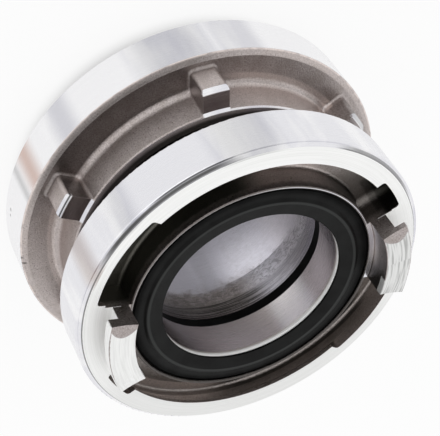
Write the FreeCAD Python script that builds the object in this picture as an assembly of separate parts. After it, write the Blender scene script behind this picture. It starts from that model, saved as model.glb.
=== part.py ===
import FreeCAD, Part
import os
from math import asin, atan2, cos, degrees, hypot, radians, sin, tan
from types import SimpleNamespace

# Reducer for two sizes of lug couplings, standing on the lugs of its large coupling.
# The axis is Z, the origin is where the axis meets the surface that the part stands on.
# All lengths are millimetres and all angles are degrees about the axis from +X.
# The small coupling is cast in one piece with its neck. The large lug ring turns on a
# flanged stem, which is screwed into that neck against a rubber gasket.

# Water way and the thickness that carries everything else
small_bore_radius = 30.4
large_bore_radius = small_bore_radius + 2.6
thread_radius = small_bore_radius + 5.6
stem_radius = large_bore_radius + 9.0

# Small coupling, which faces up
small_width = 16.3
small_cavity_depth = 9.2
small_lug_radius = small_bore_radius + 12.1
small_hub_radius = small_lug_radius - 1.0
small_neck_radius = small_lug_radius + 5.25
small_lip_radius = small_neck_radius + 2.45
small_hook_radius = small_lip_radius + 1.1
small_opening_radius = small_lip_radius + 2.8
small_cavity_radius = small_lip_radius + 3.6
small_outer_radius = small_cavity_radius + 4.4
small_lug_height = 8.5
small_hook_lead = 4.9
small_hook_trail = 6.3
small_lug_azimuth = 0.0

# Large coupling, which faces down
large_width = 17.1
large_cavity_depth = 9.4
large_lug_radius = stem_radius + 4.0
large_neck_radius = large_lug_radius + 5.7
large_lip_radius = large_neck_radius + 2.7
large_hook_radius = large_lip_radius + 1.1
large_opening_radius = large_lip_radius + 3.0
large_cavity_radius = large_lip_radius + 3.9
large_outer_radius = large_cavity_radius + 4.7
large_lug_height = 8.7
large_hook_lead = 5.0
large_hook_trail = 6.5

# Angles that both couplings share, measured along the rim from the lug
lug_span = 34.7
opening_gap = 1.0
opening_span = 36.9
opening_ramp = 3.5
recess_gap = 0.4
recess_span = 14.7
recess_ramp = 1.5

# Lip and edges that both couplings share
lip_straight = 1.2
lip_slope_end = 4.2
face_chamfer = 1.0
edge_step = 0.3
edge_radius = 0.8
cavity_fillet = 1.2
opening_corner = 1.2
hub_draft = 0.5
rear_chamfer = 0.6
lug_edge_chamfer = 0.35
hook_edge_radius = 0.7
scoop_radius = 32.0
scoop_length = 3.8
scoop_drop = 0.34
lug_root_fillet = 3.0

# Seal seats and seals
rim_drop = 0.3
rim_wall = 1.0
rim_round = 0.45
seat_depth = 7.5
lip_wall = 2.0
lip_drop = 1.7
seal_clearance = 0.1
seal_flap_overhang = 0.1
seal_face_drop = 0.9
seal_bead_drop = 0.1
seal_bead_share = 0.49
seal_bead_width = 1.3
seal_outer_drop = 0.75
seal_gap_depth = 1.1
seal_gap_width = 0.7
seal_line_depth = 0.3
seal_line_height = 0.22

# Large lug ring, stem and the joint between stem and neck
rim_width = 2.1
rim_rise = 1.1
hub_radius = stem_radius + 8.6
hub_slope = 0.45
hub_length = 13.1
hub_chamfer = 0.45
hub_fillet = 2.6
running_clearance = 0.06
flange_clearance = 0.3
thrust_clearance = 0.15
flange_gap = 0.5
neck_radius = thread_radius + 10.0
neck_length = 12.25
neck_fillet = 3.0
neck_chamfer = 0.6
thread_clearance = 0.1
gasket_height = 3.7
gasket_depth = small_width - 0.6
gasket_inset = 0.05
stem_mouth_radius = small_bore_radius + 0.2
stem_mouth_length = 2.2
stem_cone_length = 12.5

# Spanner ribs on the back of the large lug ring, which has its lugs midway between two of them
rib_count = 6
rib_width = 8.6
rib_radius = hub_radius + 8.0
rib_chamfer = 1.5
rib_end_drop = 0.9
rib_azimuth = 27.5
rib_edge_radius = 1.4
rib_root_fillet = 1.0

# Distance between the front faces of the two couplings
face_to_face = small_width + neck_length + thrust_clearance + hub_length + large_width

margin = 5.0
up = FreeCAD.Vector(0, 0, 1)
across = FreeCAD.Vector(1, 0, 0)
origin = FreeCAD.Vector(0, 0, 0)


def small_coupling():
    """The sizes of the small coupling, seen from its own front face."""
    return SimpleNamespace(
        outer=small_outer_radius, width=small_width, lip=small_lip_radius,
        opening=small_opening_radius, cavity=small_cavity_radius, depth=small_cavity_depth,
        lug=small_lug_radius, neck=small_neck_radius, hook=small_hook_radius,
        height=small_lug_height, lead=small_hook_lead, trail=small_hook_trail,
        azimuth=small_lug_azimuth, hub=small_hub_radius, bore=small_bore_radius)


def large_coupling():
    """The sizes of the large coupling, seen from its own front face."""
    return SimpleNamespace(
        outer=large_outer_radius, width=large_width, lip=large_lip_radius,
        opening=large_opening_radius, cavity=large_cavity_radius, depth=large_cavity_depth,
        lug=large_lug_radius, neck=large_neck_radius, hook=large_hook_radius,
        height=large_lug_height, lead=large_hook_lead, trail=large_hook_trail,
        azimuth=180 / rib_count - rib_azimuth, hub=large_lug_radius - flange_gap, bore=large_bore_radius)


def section(corners):
    """A face in the XZ plane from corners (radius, height) or (radius, height, rounding)."""
    count = len(corners)
    starts, ends, arcs = [], [], []
    for index, corner in enumerate(corners):
        here = FreeCAD.Vector(corner[0], 0, corner[1])
        before = corners[index - 1]
        after = corners[(index + 1) % count]
        back = (FreeCAD.Vector(before[0], 0, before[1]) - here).normalize()
        ahead = (FreeCAD.Vector(after[0], 0, after[1]) - here).normalize()
        if len(corner) < 3:
            starts.append(here)
            ends.append(here)
            arcs.append(None)
            continue
        half = back.getAngle(ahead) / 2
        reach = corner[2] / tan(half)
        middle = (back + ahead).normalize()
        centre = here + middle * (corner[2] / sin(half))
        starts.append(here + back * reach)
        ends.append(here + ahead * reach)
        arcs.append(centre - middle * corner[2])
    edges = []
    for index in range(count):
        if arcs[index] is not None:
            edges.append(Part.Arc(starts[index], arcs[index], ends[index]).toShape())
        following = starts[(index + 1) % count]
        if ends[index].distanceToPoint(following) > 1e-6:
            edges.append(Part.LineSegment(ends[index], following).toShape())
    return Part.Face(Part.Wire(edges))


def turned(corners, start=0.0, span=360.0):
    """A solid of revolution about the axis, or a sector of one."""
    solid = section(corners).revolve(origin, up, span)
    solid.rotate(origin, up, start)
    return solid


def plan_point(radius, azimuth, height=0.0):
    angle = radians(azimuth)
    return FreeCAD.Vector(radius * cos(angle), radius * sin(angle), height)


def both_sides(shape):
    """A shape and its copy half a turn round the axis."""
    copy = shape.copy()
    copy.rotate(origin, up, 180)
    return [shape, copy]


def lip_cutter(size, first, last, ramp_first, ramp_last):
    """A pocket through the lip, with ends that may slope in plan."""
    inner = size.hub + 2 * rim_wall
    low = -(lip_slope_end + edge_radius)
    near_first = plan_point(inner, first - ramp_first, low)
    far_first = plan_point(size.opening, first, low)
    far_last = plan_point(size.opening, last, low)
    near_last = plan_point(inner, last + ramp_last, low)
    outer_arc = Part.Arc(far_first, plan_point(size.opening, (first + last) / 2, low), far_last)
    inner_arc = Part.Arc(near_last, plan_point(inner, (first + last) / 2, low), near_first)
    wire = Part.Wire([
        Part.LineSegment(near_first, far_first).toShape(), outer_arc.toShape(),
        Part.LineSegment(far_last, near_last).toShape(), inner_arc.toShape()])
    prism = Part.Face(wire).extrude(up * (margin - low))
    corners = [edge for edge in prism.Edges if is_upright(edge, size.opening)]
    return prism.makeFillet(opening_corner, corners)


def is_upright(edge, radius):
    """Whether an edge runs along the axis at this radius."""
    first, last = edge.Vertexes[0].Point, edge.Vertexes[-1].Point
    level = abs(first.z - last.z)
    return level > 1e-3 and abs(level - edge.Length) < 1e-3 and abs(hypot(first.x, first.y) - radius) < 1e-3


def lug(size):
    """One lug with its root block, its neck and the ramped hook that grips the other lip."""
    start = size.azimuth - lug_span / 2
    root = turned([(size.hub - rim_wall / 2, -size.depth - 1), (size.cavity + 1, -size.depth - 1),
                   (size.cavity + 1, -lip_straight), (size.lip + 1, 0), (size.lug, 0),
                   (size.lug, -rim_drop), (size.hub - rim_wall / 2, -rim_drop)], start, lug_span)
    body = turned([(size.lug, -rim_drop), (size.hook, -rim_drop), (size.hook, size.height, hook_edge_radius),
                   (size.lug, size.height, lug_edge_chamfer)], start, lug_span)
    throat = turned([(size.neck, 0), (size.hook + 1, 0), (size.hook + 1, size.height + margin),
                     (size.neck, size.height + margin)], start - 1, lug_span + 2)
    body = body.cut(throat.common(below_ramp(size)))
    for end in (-1, 1):
        body = body.cut(end_scoop(size, end))
    return root.fuse([body, root_toe(size)])


def root_toe(size):
    """The hollow sweep from the trailing end of a lug's root down to the floor of the cavity."""
    low = -size.depth
    end = size.azimuth + lug_span / 2
    reach = degrees(asin(lug_root_fillet / size.hub)) + 1
    inner, outer = size.hub - rim_wall / 2, size.cavity + 1
    toe = turned([(inner, low - 1), (outer, low - 1), (outer, low + lug_root_fillet),
                  (inner, low + lug_root_fillet)], end - 1, reach + 1)
    length = outer + margin
    rod = Part.makeCylinder(lug_root_fillet, length, FreeCAD.Vector(0, lug_root_fillet, low + lug_root_fillet), across)
    rest = Part.makeBox(length, length, size.depth, FreeCAD.Vector(0, lug_root_fillet, low))
    sweep = rod.fuse(rest)
    sweep.rotate(origin, up, end)
    return toe.cut(sweep)


def below_ramp(size):
    """The space under the hook: a block whose top rises from the leading to the trailing end."""
    run = 2 * size.hook * sin(radians(lug_span / 2))
    middle = (size.lead + size.trail) / 2
    length = 4 * size.hook
    block = Part.makeBox(length, length, length, FreeCAD.Vector(-length / 2, -length / 2, -length))
    block.rotate(origin, across, degrees(atan2(size.trail - size.lead, run)))
    block.translate(up * middle)
    block.rotate(origin, up, size.azimuth)
    return block


def end_scoop(size, end):
    """The shallow hollow that the casting leaves in the top of a lug at one end."""
    middle = (size.lug + size.hook) / 2
    slope = degrees(atan2(scoop_drop, scoop_length))
    rod = Part.makeCylinder(scoop_radius, 4 * scoop_length, FreeCAD.Vector(middle, 0, 0), FreeCAD.Vector(0, end, 0))
    rod.rotate(FreeCAD.Vector(middle, 0, 0), across, -end * slope)
    rod.translate(FreeCAD.Vector(0, -end * scoop_length, size.height + scoop_radius))
    rod.rotate(origin, up, size.azimuth + end * lug_span / 2)
    return rod


def cut_lip(solid, size):
    """The two wide openings and the two end recesses in the lip."""
    half = lug_span / 2
    opening_last = size.azimuth - half - opening_gap
    recess_first = size.azimuth + half + recess_gap
    pockets = both_sides(lip_cutter(size, opening_last - opening_span, opening_last, opening_ramp, 0))
    pockets += both_sides(lip_cutter(size, recess_first, recess_first + recess_span, 0, recess_ramp))
    return solid.cut(Part.makeCompound(pockets))


def head_outline(size):
    """The lip and the outside of a coupling, from the floor of its cavity round to its back."""
    edge = size.outer - edge_radius
    return [
        (size.cavity, -size.depth, cavity_fillet), (size.cavity, -lip_slope_end),
        (size.lip, -lip_straight), (size.lip, 0), (edge - face_chamfer, 0),
        (edge, -face_chamfer), (edge, -face_chamfer - edge_step),
        (size.outer, -face_chamfer - edge_step, edge_radius * 0.6)]


def seat_outline(size, rim):
    """The seal seat, from the bore round to the top of its rim."""
    return [
        (size.bore, -lip_drop, lip_wall * 0.75), (size.bore + lip_wall, -lip_drop, lip_wall * 0.15),
        (size.bore + lip_wall, -seat_depth), (rim - rim_wall, -seat_depth),
        (rim - rim_wall, -rim_drop, rim_round), (rim, -rim_drop, rim_round)]


def small_coupling_body():
    """The fixed coupling: seal seat, lip, lugs and the neck that the stem is screwed into."""
    size = small_coupling()
    neck_end = -(size.width + neck_length)
    thread = thread_radius + thread_clearance
    outline = seat_outline(size, size.hub)
    outline += [(size.hub + hub_draft, -size.depth, cavity_fillet)]
    outline += head_outline(size)
    outline += [
        (size.outer, -size.width, rear_chamfer), (neck_radius, -size.width, neck_fillet),
        (neck_radius, neck_end, neck_chamfer), (thread, neck_end), (thread, -gasket_depth),
        (size.bore, -gasket_depth)]
    solid = cut_lip(turned(outline), size)
    solid = solid.fuse(both_sides(lug(size))).removeSplitter()
    solid.translate(up * (large_lug_height + face_to_face))
    return solid


def stand_down(shape):
    """Turn a piece of the large coupling over, so that its front faces the ground."""
    shape.rotate(origin, across, 180)
    shape.translate(up * large_lug_height)
    return shape


def rib(size):
    """One spanner rib as it is cast, before its end is turned."""
    back = -size.width
    end = back - hub_length
    root = hub_radius - hub_fillet
    block = Part.makeBox(rib_radius - root, rib_width, back - end, FreeCAD.Vector(root, -rib_width / 2, end))
    upright = [edge for edge in block.Edges
               if abs(edge.BoundBox.ZLength - edge.Length) < 1e-3 and edge.BoundBox.XMin > hub_radius]
    return block.makeFillet(rib_edge_radius, upright)


def rib_root_edges(solid, ring, ribs, top):
    """The edges of a solid, up to a level, where its ribs meet the ring that they stand on."""
    found = []
    for edge in solid.Edges:
        middle = edge.valueAt((edge.FirstParameter + edge.LastParameter) / 2)
        if middle.z < top or hypot(middle.x, middle.y) < hub_radius - hub_slope - 0.1:
            continue
        point = Part.Vertex(middle)
        if point.distToShape(ring.Shells[0])[0] > 1e-4:
            continue
        if min(point.distToShape(piece.Shells[0])[0] for piece in ribs) < 1e-4:
            found.append(edge)
    return found


def end_turning(size):
    """What the lathe takes off the end of the hub and of the ribs."""
    hub_end = -(size.width + hub_length)
    rib_end = hub_end + rib_end_drop
    start = hub_radius - hub_slope - hub_chamfer
    return turned([
        (start, hub_end - margin), (start, hub_end), (start + rib_end_drop, rib_end),
        (rib_radius - rib_chamfer, rib_end), (rib_radius + margin, rib_end + rib_chamfer + margin),
        (rib_radius + margin, hub_end - margin)])


def large_lug_ring():
    """The turning ring: lip and lugs in front, hub and spanner ribs behind."""
    size = large_coupling()
    back = -size.width
    floor = back - rim_rise
    hub_end = back - hub_length
    bore = stem_radius + running_clearance
    outline = [(bore, hub_end), (bore, -size.depth)]
    outline += head_outline(size)
    outline += [
        (size.outer, back), (size.outer - rim_width, floor),
        (hub_radius, floor, hub_fillet), (hub_radius - hub_slope, hub_end)]
    ring = turned(outline)
    ribs = []
    for number in range(rib_count):
        piece = rib(size)
        piece.rotate(origin, up, -rib_azimuth + number * 360 / rib_count)
        ribs.append(piece)
    solid = ring.fuse(ribs).removeSplitter()
    solid = solid.makeFillet(rib_root_fillet, rib_root_edges(solid, ring, ribs, hub_end + 0.1))
    solid = cut_lip(solid.cut(end_turning(size)), size)
    clear = stem_flange_space(size)
    solid = solid.fuse([piece.cut(clear) for piece in both_sides(lug(size))]).removeSplitter()
    return stand_down(solid)


def stem_flange_space(size):
    """What the lugs leave free round the flange of the stem."""
    return Part.makeCylinder(size.lug, size.depth + margin, FreeCAD.Vector(0, 0, -size.depth), up)


def stem():
    """The flanged tube that carries the large seal and on which the lug ring turns."""
    size = large_coupling()
    flange = size.lug - flange_gap
    shoulder = -(size.width + hub_length + thrust_clearance)
    end = -(face_to_face - gasket_depth - gasket_height)
    outline = seat_outline(size, flange)
    outline += [
        (flange, -size.depth + flange_clearance, rear_chamfer), (stem_radius, -size.depth + flange_clearance),
        (stem_radius, shoulder), (thread_radius, shoulder), (thread_radius, end),
        (stem_mouth_radius, end), (stem_mouth_radius, end + stem_mouth_length),
        (size.bore, end + stem_mouth_length + stem_cone_length)]
    return stand_down(turned(outline))


def stem_gasket():
    """The flat rubber ring between the end of the stem and the floor of the neck."""
    top = large_lug_height + face_to_face - gasket_depth
    low = top - gasket_height
    inner = small_bore_radius + gasket_inset
    return turned([(inner, low, gasket_height * 0.2), (thread_radius, low),
                   (thread_radius, top), (inner, top, gasket_height * 0.2)])


def seal(size, rim):
    """A rubber face seal: a foot in the seat, a flap over the bore's lip and a raised bead."""
    foot_inner = size.bore + lip_wall + seal_clearance
    foot_outer = rim - rim_wall - seal_clearance
    edge = size.bore - seal_flap_overhang
    under = -lip_drop + seal_clearance / 2
    bead = edge + (foot_outer - edge) * seal_bead_share
    line = (under - seal_face_drop) / 2
    half = seal_line_height / 2
    return turned([
        (foot_inner, -seat_depth), (foot_outer, -seat_depth), (foot_outer, -seal_gap_depth - rim_drop),
        (foot_outer - seal_gap_width, -seal_gap_depth), (foot_outer - seal_gap_width, -seal_outer_drop, 0.15),
        (bead + seal_bead_width, -seal_outer_drop, 0.6), (bead + seal_bead_width / 2, -seal_bead_drop, 0.4),
        (bead - seal_bead_width / 2, -seal_bead_drop, 0.4), (edge, -seal_face_drop, 0.15),
        (edge, line + half), (edge + seal_line_depth, line), (edge, line - half),
        (edge, under), (foot_inner, under)])


def small_seal():
    size = small_coupling()
    solid = seal(size, size.hub)
    solid.translate(up * (large_lug_height + face_to_face))
    return solid


def large_seal():
    size = large_coupling()
    return stand_down(seal(size, size.lug - flange_gap))


def main():
    nodes = {
        "small_coupling_body": small_coupling_body(),
        "large_lug_ring": large_lug_ring(),
        "stem": stem(),
        "stem_gasket": stem_gasket(),
        "small_seal": small_seal(),
        "large_seal": large_seal(),
    }
    os.makedirs("parts", exist_ok=True)
    for name, shape in nodes.items():
        shape.exportStep(f"parts/{name}.step")
        box = shape.BoundBox
        print(name, "valid", shape.isValid(), "solids", len(shape.Solids),
              "volume", round(shape.Volume / 1000, 2), "cm3",
              "x", round(box.XMin, 2), round(box.XMax, 2), "z", round(box.ZMin, 2), round(box.ZMax, 2))


main()
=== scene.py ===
from math import pi

import bpy
from mathutils import Matrix, Vector


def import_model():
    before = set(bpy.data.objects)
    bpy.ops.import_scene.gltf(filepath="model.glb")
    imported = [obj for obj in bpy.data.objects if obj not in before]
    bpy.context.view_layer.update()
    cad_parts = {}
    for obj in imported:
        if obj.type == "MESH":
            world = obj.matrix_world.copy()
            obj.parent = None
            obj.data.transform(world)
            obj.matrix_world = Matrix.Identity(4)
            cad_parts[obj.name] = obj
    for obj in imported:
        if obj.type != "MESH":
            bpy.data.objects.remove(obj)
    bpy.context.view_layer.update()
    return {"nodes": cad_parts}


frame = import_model()

MM = 0.001
SMALL_FACE = 67.6
LARGE_FACE = 8.7
RING_BACK = LARGE_FACE + 17.1
RIB_STEP = 60.0
RIB_AZIMUTH = 27.5
LUG_HALF_ANGLE = 17.0

STREAK_DARK = (0.64, 0.64, 0.71, 1)
STREAK_BRIGHT = (0.98, 0.975, 0.975, 1)
FACE_DARK = (0.86, 0.865, 0.85, 1)
FACE_BRIGHT = (0.98, 0.98, 0.975, 1)
COOL_METAL = (0.76, 0.745, 0.83, 1)
# A warm tint: partly a painted reflection and painted shade, partly the bores' own tone.
WARM_TINT = (0.60, 0.43, 0.37, 1)
CAST_DARK = (0.32, 0.28, 0.27, 1)
CAST_BRIGHT = (0.53, 0.48, 0.47, 1)
CAST_BLOTCH = (0.30, 0.26, 0.235, 1)
# Casting darkened as painted shade, casting made pale by wear and by painted highlights, and near black for
# dirt and painted shade.
CAST_SHADE = (0.24, 0.235, 0.205, 1)
CAST_WORN_AND_LIT = (0.90, 0.80, 0.76, 1)
DIRT_AND_SHADE = (0.013, 0.013, 0.010, 1)
RUBBER_DARK = (0.003, 0.003, 0.003, 1)
RUBBER_GREY = (0.006, 0.0063, 0.0062, 1)
# A painted highlight for the seal's bead.
RUBBER_HIGHLIGHT = (0.034, 0.036, 0.035, 1)
FLOOR_GREY = (0.82, 0.82, 0.82, 1)


class Nodes:
    """Short calls for one material's node tree, with the object's coordinates in mm and degrees."""

    def __init__(self, name):
        self.material = bpy.data.materials.new(name)
        self.material.use_nodes = True
        self.tree = self.material.node_tree
        self.tree.nodes.clear()
        texture = self.add("ShaderNodeTexCoord")
        scale = self.add("ShaderNodeVectorMath", operation="SCALE")
        self.link(texture.outputs["Object"], scale.inputs[0])
        scale.inputs["Scale"].default_value = 1 / MM
        self.point = scale.outputs[0]
        split = self.add("ShaderNodeSeparateXYZ")
        self.link(self.point, split.inputs[0])
        self.x, self.y, self.z = split.outputs
        self.radius = self.length(self.x, self.y)
        self.azimuth = self.math("MULTIPLY", self.math("ARCTAN2", self.y, self.x), 180 / pi)

    def add(self, kind, **settings):
        node = self.tree.nodes.new(kind)
        for key, value in settings.items():
            setattr(node, key, value)
        return node

    def link(self, source, socket):
        """Joins an output to the socket, or sets the socket to a constant."""
        if hasattr(source, "is_output"):
            self.tree.links.new(source, socket)
        else:
            socket.default_value = source

    def math(self, operation, a, b=0.0):
        node = self.add("ShaderNodeMath", operation=operation)
        self.link(a, node.inputs[0])
        self.link(b, node.inputs[1])
        return node.outputs[0]

    def length(self, a, b):
        return self.math("SQRT", self.math("ADD", self.math("MULTIPLY", a, a), self.math("MULTIPLY", b, b)))

    def ramp(self, value, low, high, low_out, high_out):
        """low_out up to low, high_out from high on, and a smooth change between them."""
        node = self.add("ShaderNodeMapRange", interpolation_type="SMOOTHSTEP", clamp=True)
        self.link(value, node.inputs["Value"])
        node.inputs["From Min"].default_value = low
        node.inputs["From Max"].default_value = high
        node.inputs["To Min"].default_value = low_out
        node.inputs["To Max"].default_value = high_out
        return node.outputs["Result"]

    def rise(self, value, low, high, most=1.0):
        return self.ramp(value, low, high, 0.0, most)

    def fall(self, value, low, high, most=1.0):
        return self.ramp(value, low, high, most, 0.0)

    def band(self, value, low, high, soft=0.05):
        """1 where value is between low and high."""
        start = self.rise(value, low - soft, low + soft)
        return self.all_of(start, self.fall(value, high - soft, high + soft))

    def any_of(self, *masks):
        """The largest of the masks."""
        result = masks[0]
        for mask in masks[1:]:
            result = self.math("MAXIMUM", result, mask)
        return result

    def all_of(self, *masks):
        """The masks' product. A plain number among them is the strength."""
        result = masks[0]
        for mask in masks[1:]:
            result = self.math("MULTIPLY", result, mask)
        return result

    def but(self, mask, other):
        """mask where the other isn't."""
        return self.all_of(mask, self.math("SUBTRACT", 1.0, other))

    def pit(self, azimuth, z, size):
        """A small round spot on the large ring's outer wall, where one degree is about one millimetre."""
        across = self.math("SUBTRACT", self.azimuth, azimuth)
        along = self.math("SUBTRACT", self.z, z)
        return self.fall(self.length(across, along), size * 0.5, size)

    def noise(self, vector, scale, detail=2.0, roughness=0.5):
        node = self.add("ShaderNodeTexNoise")
        self.link(vector, node.inputs["Vector"])
        node.inputs["Scale"].default_value = scale
        node.inputs["Detail"].default_value = detail
        node.inputs["Roughness"].default_value = roughness
        return node.outputs["Fac"]

    def blotches(self):
        return self.noise(self.point, 0.25)

    def stretched(self, *pairs):
        """A vector for noise, from up to three pairs of a coordinate and its scale."""
        node = self.add("ShaderNodeCombineXYZ")
        for (value, scale), socket in zip(pairs, node.inputs):
            self.link(self.math("MULTIPLY", value, scale), socket)
        return node.outputs[0]

    def mix_color(self, fac, a, b):
        node = self.add("ShaderNodeMix", data_type="RGBA")
        self.link(fac, node.inputs["Factor"])
        self.link(a, node.inputs[6])
        self.link(b, node.inputs[7])
        return node.outputs[2]

    def mix_value(self, fac, a, b):
        node = self.add("ShaderNodeMix", data_type="FLOAT")
        self.link(fac, node.inputs[0])
        self.link(a, node.inputs[2])
        self.link(b, node.inputs[3])
        return node.outputs[0]

    def bump(self, height, distance):
        node = self.add("ShaderNodeBump")
        self.link(height, node.inputs["Height"])
        node.inputs["Distance"].default_value = distance
        return node.outputs[0]

    def principled(self, **values):
        """Closes the material with one shader. Its sockets are named with underscores here."""
        shader = self.add("ShaderNodeBsdfPrincipled")
        for key, value in values.items():
            self.link(value, shader.inputs[key.replace("_", " ")])
        return self.surface(shader.outputs[0])

    def surface(self, shader):
        output = self.add("ShaderNodeOutputMaterial")
        self.link(shader, output.inputs["Surface"])
        return self.material


def metal(name, zones):
    """Aluminium. zones() gives a mask for each kind of surface, and what is not turned is sand cast.

    turned: machined. face: machined and matt. light: painted bright band. cool, warm: tints of turned metal,
    the warm one partly painted reflection and shade. shaded_cast: casting darkened as painted shade.
    pale: casting made pale by wear and by painted highlights. dirt_and_shade: near black, dirt and painted
    shade over all the others.
    """
    n = Nodes(name)
    zone = dict.fromkeys(("turned", "face", "light", "cool", "warm", "shaded_cast", "pale", "dirt_and_shade"), 0.0)
    zone.update(zones(n))

    patches = n.noise(n.stretched((n.x, 0.08), (n.y, 0.08), (n.z, 0.016)), 1.0, 3.0)
    lathe = n.noise(n.stretched((n.radius, 9.0), (n.z, 9.0), (n.azimuth, 0.03)), 1.0, 3.0, 0.6)
    streak = n.math("ADD", n.all_of(lathe, 0.3), n.all_of(n.rise(patches, 0.34, 0.66), 0.7))
    streak = n.any_of(streak, n.all_of(zone["light"], n.ramp(lathe, 0.3, 0.6, 0.85, 1.0)))
    turned_color = n.mix_color(streak, STREAK_DARK, STREAK_BRIGHT)
    face_color = n.mix_color(n.rise(lathe, 0.3, 0.7), FACE_DARK, FACE_BRIGHT)
    turned_color = n.mix_color(zone["face"], turned_color, face_color)
    turned_color = n.mix_color(zone["cool"], turned_color, COOL_METAL)
    turned_color = n.mix_color(zone["warm"], turned_color, WARM_TINT)

    grain = n.noise(n.point, 2.2, 3.0, 0.6)
    cast_color = n.mix_color(n.rise(grain, 0.3, 0.7), CAST_DARK, CAST_BRIGHT)
    cast_color = n.mix_color(n.rise(n.blotches(), 0.4, 0.7, 0.4), cast_color, CAST_BLOTCH)
    # Painted shade darkens the casting; wear and painted highlights make it pale.
    cast_color = n.mix_color(zone["shaded_cast"], cast_color, CAST_SHADE)
    lightened = n.all_of(zone["pale"], n.ramp(grain, 0.3, 0.7, 0.7, 1.0))
    cast_color = n.mix_color(lightened, cast_color, CAST_WORN_AND_LIT)

    color = n.mix_color(zone["turned"], cast_color, turned_color)
    # Dirt and painted shade, near black, over all the others.
    color = n.mix_color(zone["dirt_and_shade"], color, DIRT_AND_SHADE)
    turned_rough = n.math("ADD", n.ramp(lathe, 0.2, 0.8, 0.18, 0.30), n.all_of(zone["face"], 0.30))
    rough = n.mix_value(zone["turned"], n.ramp(grain, 0.2, 0.8, 0.26, 0.38), turned_rough)
    height = n.mix_value(zone["turned"], grain, n.all_of(lathe, 0.12))
    metallic = n.ramp(zone["face"], 0.0, 1.0, 1.0, 0.55)
    return n.principled(Metallic=metallic, Base_Color=color, Roughness=rough,
                        Normal=n.bump(height, 0.14 * MM))


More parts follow.
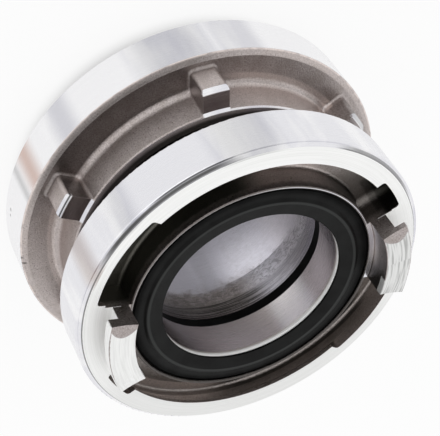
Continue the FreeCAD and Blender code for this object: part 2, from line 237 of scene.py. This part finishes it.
def coupling_zones(n):
    """The small coupling. Depth is measured down from its front face, and height up from it."""
    x, y, radius, azimuth = n.x, n.y, n.radius, n.azimuth
    depth = n.math("SUBTRACT", SMALL_FACE, n.z)
    height = n.math("SUBTRACT", n.z, SMALL_FACE)
    both_sides = n.math("ABSOLUTE", azimuth)

    # Machined surfaces.
    outer_band = n.all_of(n.rise(radius, 55.6, 55.9), n.fall(depth, 15.8, 15.9))
    face = n.all_of(n.fall(depth, 0.02, 0.1), n.band(radius, 45.0, 56.5), n.fall(height, 0.05, 0.15))
    lug_tail = n.any_of(n.band(azimuth, 152, 171, 1.0), n.band(azimuth, 9, 22, 1.0))
    lug_top = n.all_of(n.rise(height, 6.0, 6.1), n.any_of(lug_tail, n.rise(height, 8.44, 8.48)))
    hook_wall = n.all_of(n.rise(radius, 50.95, 51.1), n.rise(height, 0.2, 0.3))
    at_lug = n.any_of(n.band(azimuth, -LUG_HALF_ANGLE, LUG_HALF_ANGLE, 0.2),
                      n.rise(both_sides, 179.8 - LUG_HALF_ANGLE, 180.2 - LUG_HALF_ANGLE))
    neck_wall = n.all_of(n.band(radius, 47.5, 48.0, 0.1), n.rise(height, 0.05, 0.15),
                         n.fall(height, 6.4, 6.6), at_lug)
    inside = n.fall(radius, 40.0, 40.2)
    rim_top = n.fall(depth, 0.4, 0.6)
    # The seat rim's rounded edge is drawn as turned metal, strongest on one side: a painted highlight.
    rim_highlight = n.all_of(n.band(radius, 40.9, 41.15), rim_top, n.ramp(x, -20, 10, 1.0, 0.35),
                        n.ramp(y, -5, 5, 1.0, 0.1))
    lug_foot = n.all_of(n.band(radius, 40.8, 42.2), rim_top, n.band(both_sides, 162.6, 190, 0.3))
    turned = n.any_of(outer_band, face, lug_top, hook_wall, neck_wall, inside, rim_highlight, lug_foot)

    # The cavity between the seal's seat and the lip: painted shade, darker towards negative y and in its
    # corners, weaker between azimuths -141 and -92 degrees, painted light on some of its walls, and paler
    # casting by the seat.
    deep = n.all_of(n.rise(depth, 0.8, 3.5), n.band(radius, 41.6, 54.6), n.fall(depth, 10.0, 10.5))
    less_shade = n.math("SUBTRACT", 1.0, n.all_of(n.band(azimuth, -141, -92, 9.0), 0.85))
    cavity_shade = n.all_of(deep, less_shade, n.fall(y, -20, 35, 0.6))
    # Paler casting by the seat between azimuths -130 and -94 degrees.
    pale_by_seat = n.all_of(deep, n.band(azimuth, -130, -94, 8.0), n.fall(radius, 43.5, 45.0), 0.55)
    # Painted shade on the seat's rim where it isn't turned, more towards positive y.
    seat_rim = n.all_of(n.band(radius, 40.3, 42.6), n.fall(depth, 0.2, 9.0),
                        n.any_of(n.fall(radius, 41.5, 41.7, 0.6), n.rise(y, 0, 10, 0.8)))
    # Painted shade in the cavity's corners and painted light on its walls, each over a range of azimuths.
    corner_side = n.all_of(n.band(radius, 49.8, 53.0, 0.3), n.rise(depth, 8.4, 8.8))
    corner_line = n.all_of(n.band(radius, 53.2, 54.6, 0.2), n.band(depth, 6.8, 8.3, 0.3),
                           n.band(azimuth, 36, 142, 4.0), 0.6)
    corner_shade = n.any_of(n.all_of(corner_side, n.band(azimuth, 82, 142, 5.0), 0.85), corner_line)
    low_wall = n.all_of(n.rise(radius, 53.6, 53.9), n.rise(depth, 6.2, 6.8),
                        n.band(azimuth, 34, 126, 5.0), 0.1)
    high_wall = n.all_of(n.band(radius, 52.4, 53.8, 0.2), n.band(depth, 2.2, 4.2, 0.4),
                         n.band(azimuth, 62, 126, 5.0), 0.45)
    lit_wall = n.any_of(n.all_of(corner_side, n.band(azimuth, 38, 76, 4.0)), low_wall, high_wall)
    # Painted shade deep in the recesses beside the lugs.
    recess_depth = n.all_of(deep, n.band(azimuth, -168, -150, 3.0), n.rise(radius, 44.0, 47.0), 0.8)
    recess_mouth = n.all_of(n.band(azimuth, -168, -153, 1.0), n.rise(radius, 45.5, 49.5),
                            n.fall(radius, 54.4, 54.8), n.rise(depth, 0.1, 0.5, 0.93))
    right_recess_shade = n.any_of(recess_depth, recess_mouth)
    left_recess_shade = n.all_of(n.band(azimuth, 14, 22, 1.0), n.band(radius, 50.7, 54.6, 0.2),
                           n.rise(depth, 0.3, 1.0, 0.85))

    # Painted dark reflections along the lip's outer edges, strongest on the near side.
    bevel = n.all_of(n.band(radius, 56.42, 57.55, 0.03), n.band(depth, 0.03, 1.06, 0.03),
                     n.ramp(depth, 0.12, 0.35, 0.35, 0.9), n.ramp(depth, 0.75, 1.04, 1.0, 0.6))
    near_side = n.any_of(n.band(azimuth, -86, -36, 8.0), n.all_of(n.band(azimuth, -158, -124, 6.0), 0.65))
    corner = n.all_of(n.band(radius, 56.3, 56.75, 0.06), n.fall(depth, 0.3, 0.45), n.rise(depth, 0.01, 0.03),
                      n.any_of(n.rise(azimuth, -95, -82), n.fall(azimuth, -125, -118)), 0.7)
    step = n.all_of(n.band(radius, 57.3, 57.75, 0.05), n.band(depth, 1.0, 1.4, 0.03),
                    n.band(azimuth, -86, -60, 4.0))
    dark_edge_reflection = n.any_of(n.all_of(bevel, near_side), n.all_of(step, 0.6), corner)

    # The bore: painted light on it, painted shade outside its lit part, and a painted highlight on its lip.
    bore_lip_highlight = n.all_of(inside, n.fall(depth, 3.4, 4.2), n.fall(radius, 32.6, 32.8))
    bore = n.all_of(inside, n.rise(depth, 2.9, 3.6))
    unlit_bore = n.but(bore, n.band(azimuth, 114, 138, 8.0))
    bore_shade = n.all_of(unlit_bore, n.ramp(azimuth, 45, 90, 0.48, 0.34))

    # Painted bands of light and shade round the outer wall, with a painted warm reflection, painted shade on
    # the face between azimuths 10 and 165 degrees, and wear on the lugs.
    warm_reflection = n.all_of(outer_band, n.band(azimuth, -34, -27, 3.0))
    stripe = n.any_of(n.band(azimuth, -100, -83, 5.0), n.all_of(n.band(azimuth, -53, -47, 4.0), 0.8))
    light = n.any_of(n.all_of(n.but(outer_band, stripe), n.band(azimuth, -168, 40, 6.0), 0.55), bore)
    face_shade = n.all_of(face, n.rise(azimuth, 10, 35), n.fall(azimuth, 140, 165), 0.13)
    shade = n.any_of(n.all_of(outer_band, stripe, 0.2), n.all_of(warm_reflection, 0.22), face_shade, bore_shade)
    scratches = n.noise(n.stretched((radius, 1.4), (azimuth, 0.06)), 1.0, 3.0)
    worn_lug = n.all_of(lug_top, n.ramp(x, -40, -30, 1.0, 0.28), n.ramp(scratches, 0.42, 0.66, 0.16, 0.5))

    return {"turned": turned,
            "face": n.any_of(face, lug_top, bore_lip_highlight, hook_wall, neck_wall),
            "light": light,
            "warm": n.any_of(n.all_of(warm_reflection, 0.35), n.all_of(unlit_bore, 0.45), n.all_of(bore, 0.2)),
            # Painted shade on the cavity's casting, darker towards negative y.
            "shaded_cast": n.all_of(deep, n.ramp(y, -10, 30, 0.9, 0.3), less_shade,
                             n.ramp(azimuth, -148, -134, 0.4, 1.0)),
            "pale": n.any_of(pale_by_seat, lit_wall),
            "dirt_and_shade": n.any_of(cavity_shade, dark_edge_reflection, worn_lug, n.but(seat_rim, turned), shade, corner_shade,
                             right_recess_shade, left_recess_shade)}


def ring_zones(n):
    """The large lug ring. Level is measured from the end of its outer band towards the small coupling."""
    x, y, z, radius, azimuth = n.x, n.y, n.z, n.radius, n.azimuth
    level = n.math("SUBTRACT", z, RING_BACK)
    blotches = n.blotches()

    # Machined surfaces.
    outer_band = n.all_of(n.rise(radius, 62.3, 62.7), n.fall(level, 0.0, 0.04))
    rib_turn = n.math("MULTIPLY", n.math("SUBTRACT", azimuth, RIB_AZIMUTH), 2 * pi / RIB_STEP)
    at_rib = n.rise(n.math("COSINE", rib_turn), 0.84, 0.88)
    hub_end = n.rise(level, 13.0, 13.08)
    step = n.all_of(at_rib, n.rise(level, 12.18, 12.25))
    rib_end = n.all_of(n.band(level, 12.1, 12.25, 0.03), n.rise(radius, 50.3, 50.5))
    rib_bevel = n.all_of(n.rise(radius, 56.9, 57.0), n.rise(level, 10.68, 10.72))
    front = n.all_of(n.fall(z, LARGE_FACE + 0.02, LARGE_FACE + 0.1),
                     n.rise(z, LARGE_FACE - 0.15, LARGE_FACE - 0.05))
    lug_top = n.fall(z, 0.05, 0.15)
    inside = n.fall(radius, 46.3, 46.5)
    # The hub's edge is drawn as turned metal only below azimuth -92 degrees: a painted highlight.
    hub_edge_highlight = n.all_of(n.rise(level, 12.5, 12.65), n.fall(azimuth, -97, -92), 0.8)
    turned = n.any_of(outer_band, hub_end, step, rib_end, rib_bevel, front, lug_top, inside, hub_edge_highlight)

    # Shade on the casting and on the ribs' ends.
    channel = n.all_of(n.fall(level, 1.2, 2.2), n.rise(radius, 51.9, 52.5), n.fall(radius, 61.4, 62.8),
                       n.rise(level, -0.1, 0.2), n.fall(y, -42, -15), n.rise(x, -20, 18, 0.6))
    rib_side = n.all_of(n.band(radius, 51.6, 57.9), n.band(level, 3.5, 12.0, 1.0), n.rise(x, 0, 25, 0.45))
    right_rib = n.all_of(n.band(azimuth, -162, -140, 1.0), n.band(radius, 51.2, 58.9),
                         n.band(level, 3.0, 12.0, 0.5), 0.3)
    rib_line = n.all_of(rib_bevel, n.band(radius, 57.45, 57.8), n.rise(x, 20, 30, 0.85))
    end_shade = n.all_of(rib_end, n.ramp(x, 10, 30, 0.5, 0.64))
    hub_shade = n.all_of(hub_end, n.ramp(radius, 47.6, 49.7, 0.95, 0.3))
    root_shade = n.all_of(n.band(radius, 52.2, 54.0, 0.3), n.band(level, 1.3, 3.0, 0.3),
                          n.band(azimuth, -85, -42, 3.0), 0.5)
    right_root_shade = n.all_of(n.band(radius, 51.0, 52.8, 0.3), n.band(level, 2.2, 4.8, 0.4),
                                n.band(azimuth, -132, -98, 4.0), 0.4)
    rim_shade = n.all_of(n.band(radius, 60.5, 62.75, 0.15), n.rise(level, 0.05, 0.1), n.fall(y, -40, -20),
                         n.band(azimuth, -96, -40, 6.0), 0.42)

    # Pale places on the casting: painted highlights on the rim, the fillets, the ribs' outer faces, the hub
    # wall and one side of the channel floor, and paler blotches along the rim's outer edge.
    hub_wall = n.all_of(n.band(radius, 49.6, 51.2), n.any_of(n.ramp(azimuth, -112, -98, 0.42, 0.1),
                                                             n.ramp(azimuth, -60, 0, 0.04, 0.25)))
    low_side = n.any_of(n.rise(y, -45, -10, 0.22), n.fall(x, -38, -10, 0.3))
    low_floor = n.all_of(n.rise(y, -28, -5), n.rise(x, 10, 40), 0.14)
    rim = n.all_of(n.rise(radius, 60.6, 61.6), n.ramp(blotches, 0.3, 0.6, 0.4, 1.0), low_side)
    rim_edge = n.all_of(n.rise(radius, 62.2, 62.7), n.ramp(blotches, 0.35, 0.55, 0.35, 0.9))
    rib_face = n.all_of(n.band(radius, 57.9, 58.9), n.rise(level, 2.0, 3.0), n.rise(x, -30, -20, 0.28))
    glint = n.all_of(n.band(radius, 50.9, 52.6, 0.3), n.band(level, 2.0, 3.6, 0.5), n.rise(y, -46, -36, 0.3))
    both_ends = n.any_of(n.fall(azimuth, -108, -96), n.rise(azimuth, -38, -22))
    wide_glint = n.all_of(n.band(radius, 52.0, 54.6, 0.5), n.fall(level, 2.6, 3.4), both_ends, 0.5)

    # Painted bands of light and shade round the outer wall, with a painted warm reflection and a dark
    # reflection line beside it, and two pairs of pits and a single one.
    warm_reflection = n.all_of(outer_band, n.band(azimuth, -35, -29, 3.0), 0.85)
    dark_reflection_line = n.all_of(outer_band, n.band(azimuth, -27, -24.5, 1.5), 0.35)
    stripe = n.any_of(n.band(azimuth, -96, -76, 5.0), n.all_of(n.band(azimuth, -53, -46, 3.0), 0.6),
                      n.all_of(n.band(azimuth, -112, -99, 3.0), 0.5))
    pits = n.any_of(n.pit(-13.6, 15.0, 0.75), n.pit(-11.6, 15.1, 0.6), n.pit(-104.0, 9.8, 0.9),
                    n.pit(-1.0, 26.2, 0.6), n.pit(-3.2, 25.9, 0.45))

    return {"turned": turned,
            "face": front,
            "light": n.all_of(n.but(outer_band, stripe), n.band(azimuth, -165, 12, 5.0), 0.85),
            "warm": n.any_of(warm_reflection, n.all_of(rib_end, 0.35)),
            "pale": n.any_of(rim, rim_edge, rib_face, glint, wide_glint, hub_wall, low_floor),
            "dirt_and_shade": n.any_of(channel, rib_side, right_rib, rib_line, end_shade, hub_shade, root_shade,
                             right_root_shade, rim_shade, dark_reflection_line, n.all_of(outer_band, stripe, 0.2),
                             n.all_of(pits, n.rise(radius, 60.8, 61.2), 0.6))}


def stem_zones(n):
    """The stem: its bore is turned, and rough casting towards the end that meets the gasket, with painted
    shadow at that end and painted shade on one side.
    """
    x, y, z, azimuth = n.x, n.y, n.z, n.azimuth
    inner = n.fall(n.radius, 35.6, 35.8)
    wavy = n.math("ADD", z, n.math("MULTIPLY", n.math("SUBTRACT", n.blotches(), 0.5), 8.0))
    mottle = n.rise(n.noise(n.stretched((x, 1.0), (y, 1.0), (z, 1.6)), 0.5, 4.0, 0.65), 0.38, 0.62)
    cast = n.all_of(n.rise(wavy, 30.0, 37.0), inner, n.ramp(azimuth, 96, 122, 1.0, 0.12))
    lines = n.rise(n.noise(n.stretched((azimuth, 0.02), (0.0, 0.0), (z, 2.2)), 1.0, 3.0), 0.4, 0.6)
    # Painted shadow, with turning lines, at the end that meets the gasket.
    end = n.all_of(n.rise(z, 40.4, 42.2), inner, n.ramp(lines, 0.0, 1.0, 0.5, 0.93),
                   n.ramp(azimuth, 104, 124, 1.0, 0.55))
    cracks = n.band(n.noise(n.stretched((x, 1.0), (y, 1.0), (z, 2.0)), 0.3, 4.0, 0.6), 0.47, 0.53, 0.015)
    flecks = n.all_of(cracks, n.rise(azimuth, 98, 116), n.rise(wavy, 31.0, 36.0), inner, 0.45)
    # Painted shade below azimuth 106 degrees.
    side_shade = n.all_of(inner, n.any_of(n.fall(azimuth, 96, 106, 0.12),
                                    n.all_of(n.band(azimuth, 82, 96, 4.0), 0.22)))
    return {"turned": n.math("SUBTRACT", 1.0, cast),
            "cool": n.all_of(inner, 0.85),
            "warm": n.all_of(inner, n.rise(azimuth, 120, 150, 0.15)),
            "dirt_and_shade": n.any_of(n.all_of(cast, n.ramp(mottle, 0.0, 1.0, 0.22, 0.5)), end, flecks, side_shade,
                             n.all_of(inner, mottle, 0.07))}


def rubber(name, bead=None):
    """Matt black rubber. A raised bead at this radius gets a painted highlight, and outside it the rim is
    duller.
    """
    n = Nodes(name)
    fine = n.noise(n.point, 3.0)
    color = n.mix_color(n.rise(n.noise(n.point, 0.15), 0.35, 0.65), RUBBER_DARK, RUBBER_GREY)
    gloss = 0.03
    if bead is not None:
        # Painted highlight along the bead.
        lightened = n.all_of(n.band(n.radius, bead - 0.45, bead + 0.45, 0.25), 0.8)
        color = n.mix_color(lightened, color, RUBBER_HIGHLIGHT)
        gloss = n.ramp(n.radius, bead + 2.2, bead + 4.0, 0.11, 0.03)
    rough = n.ramp(fine, 0.2, 0.8, 0.42, 0.55)
    return n.principled(Base_Color=color, Specular_IOR_Level=gloss, Roughness=rough,
                        Normal=n.bump(fine, 0.02 * MM))


def dress(node, material):
    for slot in frame["nodes"][node].material_slots:
        slot.material = material


dress("small_coupling_body", metal("coupling_aluminium", coupling_zones))
dress("large_lug_ring", metal("ring_aluminium", ring_zones))
dress("stem", metal("stem_aluminium", stem_zones))
dress("stem_gasket", rubber("gasket_rubber"))
dress("small_seal", rubber("small_seal_rubber", bead=35.2))
dress("large_seal", rubber("large_seal_rubber", bead=38.2))


def floor(half=4.0):
    """Plain pale floor. It glows where it is seen; under the part the glow fades as a painted shadow, and a
    painted pool of light lies under the bore.
    """
    n = Nodes("floor")
    path = n.add("ShaderNodeLightPath")
    seen = n.any_of(*(path.outputs[f"Is {kind} Ray"] for kind in ("Camera", "Glossy", "Transmission")))
    # Painted pool of light about (16, -10) mm, and painted shadow under the part inside a radius of 48 to 60
    # mm.
    from_light_pool = n.length(n.math("SUBTRACT", n.x, 16.0), n.math("ADD", n.y, 10.0))
    glow_with_shadow_and_pool = n.any_of(n.rise(n.radius, 48.0, 60.0), n.ramp(from_light_pool, 13.0, 34.0, 1.0, 0.12))
    diffuse = n.add("ShaderNodeBsdfDiffuse")
    diffuse.inputs["Color"].default_value = FLOOR_GREY
    mix = n.add("ShaderNodeMixShader")
    n.link(n.all_of(seen, glow_with_shadow_and_pool, 0.9), mix.inputs[0])
    n.link(diffuse.outputs[0], mix.inputs[1])
    n.link(n.add("ShaderNodeEmission").outputs[0], mix.inputs[2])
    mesh = bpy.data.meshes.new("floor")
    corners = [(-half, -half, 0), (half, -half, 0), (half, half, 0), (-half, half, 0)]
    mesh.from_pydata(corners, [], [(0, 1, 2, 3)])
    mesh.materials.append(n.surface(mix.outputs[0]))
    plane = bpy.data.objects.new("floor", mesh)
    bpy.context.scene.collection.objects.link(plane)


def area_light(name, place, aim, side, power):
    data = bpy.data.lights.new(name, "AREA")
    data.shape = "RECTANGLE"
    data.size = side
    data.size_y = side
    data.energy = power
    lamp = bpy.data.objects.new(name, data)
    bpy.context.scene.collection.objects.link(lamp)
    lamp.location = place
    lamp.rotation_euler = (Vector(aim) - Vector(place)).to_track_quat("-Z", "Y").to_euler()


def world(strength):
    studio = bpy.data.worlds.new("studio")
    bpy.context.scene.world = studio
    studio.use_nodes = True
    background = studio.node_tree.nodes["Background"]
    background.inputs["Color"].default_value = (1, 1, 1, 1)
    background.inputs["Strength"].default_value = strength


def camera(place, right, above, lens):
    """The camera at place. right and above are the picture's directions in the scene."""
    data = bpy.data.cameras.new("camera")
    data.sensor_fit = "HORIZONTAL"
    data.sensor_width = 36.0
    data.lens = lens
    data.clip_start = 0.05
    viewer = bpy.data.objects.new("camera", data)
    bpy.context.scene.collection.objects.link(viewer)
    turn = Matrix((right, above, right.cross(above))).transposed().to_4x4()
    viewer.matrix_world = Matrix.Translation(place) @ turn
    bpy.context.scene.camera = viewer


floor()
area_light("front_box", place=(0.35, -0.75, 0.95), aim=(0, 0, 0.04), side=1.1, power=1.2)
world(strength=0.95)
camera(place=(0.10922065, -0.31615539, 0.33073131), right=Vector((-0.91942403, 0.04141147, 0.39108126)),
       above=Vector((-0.30325679, -0.70780641, -0.6380011)), lens=111.08)

bpy.context.scene.view_settings.view_transform = "Standard"
